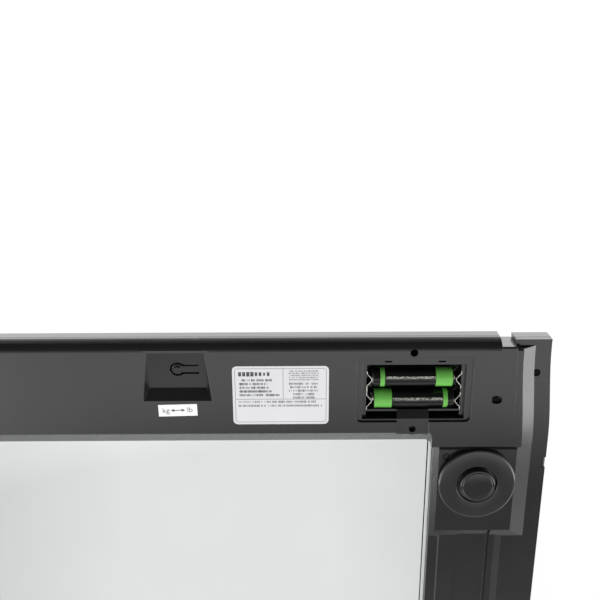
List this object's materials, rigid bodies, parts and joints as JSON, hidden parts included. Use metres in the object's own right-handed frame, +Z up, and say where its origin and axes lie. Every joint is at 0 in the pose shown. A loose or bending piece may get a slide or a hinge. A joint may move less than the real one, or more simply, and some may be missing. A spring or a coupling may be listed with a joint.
{
  "type": "digital bathroom scale",
  "caption": "Low digital bathroom scale: glass platform in a black frame with corner feet on load cells, a display bar, battery bay and unit switch underneath.",
  "frame": {"origin": "centre of the footprint, on the floor under the rubber pads", "axes": "+X across the scale, to the right of a person who stands on it facing the display; +Y towards the display; +Z up"},
  "size_m": [0.3812, 0.312, 0.0194],
  "materials": {
    "black_plastic": "black ABS, satin, finely grained",
    "platform_glass": "clear toughened float glass, faintly green at its edges",
    "seal_rubber": "pale grey translucent silicone",
    "foot_plastic": "black moulded plastic, satin",
    "foot_rubber": "black rubber, matte",
    "sensor_steel": "pressed spring steel",
    "retainer_plastic": "black moulded plastic",
    "cable_jacket": "dark grey PVC jacket",
    "sealant": "white sealing compound",
    "screw_steel": "blackened steel, cross-head",
    "cell_jacket": "glossy black sleeve with bright green bands",
    "cell_metal": "nickel-plated steel",
    "contact_metal": "nickel-plated spring strip",
    "lead_red": "red PVC insulation",
    "lead_black": "black PVC insulation",
    "board_laminate": "green solder mask on laminate",
    "chip_epoxy": "black epoxy blob",
    "small_part_ceramic": "tan ceramic parts and a metal can",
    "white_plastic": "white moulded plastic",
    "switch_plastic": "black tact switch",
    "lcd_glass": "liquid-crystal glass sandwich, grey-green",
    "strip_rubber": "striped conductive rubber",
    "window_plastic": "smoke-tinted clear plastic",
    "label_film": "light grey printed film, no text"
  },
  "bodies": {
    "frame": {"bar_base_front": "black_plastic", "bar_base_rear": "black_plastic", "bar_cover_front": "black_plastic", "bar_cover_rear": "black_plastic", "bar_screws": "screw_steel", "battery_ends": "cell_metal", "battery_front": "cell_jacket", "battery_lead_black": "lead_black", "battery_lead_red": "lead_red", "battery_rear": "cell_jacket", "board_chip": "chip_epoxy", "board_screws": "screw_steel", "board_small_parts": "small_part_ceramic", "board_sockets": "white_plastic", "contact_bridge": "contact_metal", "contact_negative": "contact_metal", "contact_positive": "contact_metal", "display_window": "window_plastic", "glass_platform": "platform_glass", "glass_seal_left": "seal_rubber", "glass_seal_right": "seal_rubber", "lcd_contact_strips": "strip_rubber", "lcd_holder": "white_plastic", "lcd_panel": "lcd_glass", "link_screws": "screw_steel", "load_cell_front_left": "sensor_steel", "load_cell_front_right": "sensor_steel", "load_cell_rear_left": "sensor_steel", "load_cell_rear_right": "sensor_steel", "load_cell_retainer_front_left": "retainer_plastic", "load_cell_retainer_front_right": "retainer_plastic", "load_cell_retainer_rear_left": "retainer_plastic", "load_cell_retainer_rear_right": "retainer_plastic", "main_board": "board_laminate", "rail_base_left": "black_plastic", "rail_base_right": "black_plastic", "rail_cover_left": "black_plastic", "rail_cover_right": "black_plastic", "rating_label": "label_film", "retainer_screws": "screw_steel", "rim_screws": "screw_steel", "sensor_cable_front_left": "cable_jacket", "sensor_cable_front_right": "cable_jacket", "sensor_cable_rear_left": "cable_jacket", "sensor_cable_rear_right": "cable_jacket", "strain_gauges_front": "sealant", "strain_gauges_rear": "sealant", "unit_label": "label_film", "unit_switch_case": "switch_plastic"},
    "foot_front_left": {"foot_disc_front_left": "foot_plastic", "foot_pad_front_left": "foot_rubber"},
    "foot_front_right": {"foot_disc_front_right": "foot_plastic", "foot_pad_front_right": "foot_rubber"},
    "foot_rear_left": {"foot_disc_rear_left": "foot_plastic", "foot_pad_rear_left": "foot_rubber"},
    "foot_rear_right": {"foot_disc_rear_right": "foot_plastic", "foot_pad_rear_right": "foot_rubber"},
    "unit_button": {"unit_button": "black_plastic"},
    "unit_plunger": {"unit_switch_plunger": "switch_plastic"}
  },
  "joints": [
    {"name": "foot_front_left_press", "type": "slide", "parent": "frame", "child": "foot_front_left", "axis": [0, 0, 1], "range_m": [0, 0.0005], "stiffness_N_per_m": 1000, "deforming": ["load_cell_front_left"]},
    {"name": "foot_front_right_press", "type": "slide", "parent": "frame", "child": "foot_front_right", "axis": [0, 0, 1], "range_m": [0, 0.0005], "stiffness_N_per_m": 1000, "deforming": ["load_cell_front_right"]},
    {"name": "foot_rear_left_press", "type": "slide", "parent": "frame", "child": "foot_rear_left", "axis": [0, 0, 1], "range_m": [0, 0.0005], "stiffness_N_per_m": 1000, "deforming": ["load_cell_rear_left"]},
    {"name": "foot_rear_right_press", "type": "slide", "parent": "frame", "child": "foot_rear_right", "axis": [0, 0, 1], "range_m": [0, 0.0005], "stiffness_N_per_m": 1000, "deforming": ["load_cell_rear_right"]},
    {"name": "unit_button_press", "type": "hinge", "parent": "frame", "child": "unit_button", "pos_m": [-0.00066, 0.1401, 0.00625], "axis": [0, -0.9788, 0.2049], "range_deg": [0, 2.5], "stiffness_Nm_per_rad": 0.08},
    {"name": "unit_plunger_press", "type": "slide", "parent": "frame", "child": "unit_plunger", "axis": [0, 0, 1], "range_m": [0, 0.0005]}
  ],
  "couplings": [
    {"joint": "unit_plunger_press", "follows": "unit_button_press", "m_per_rad": 0.010728}
  ]
}
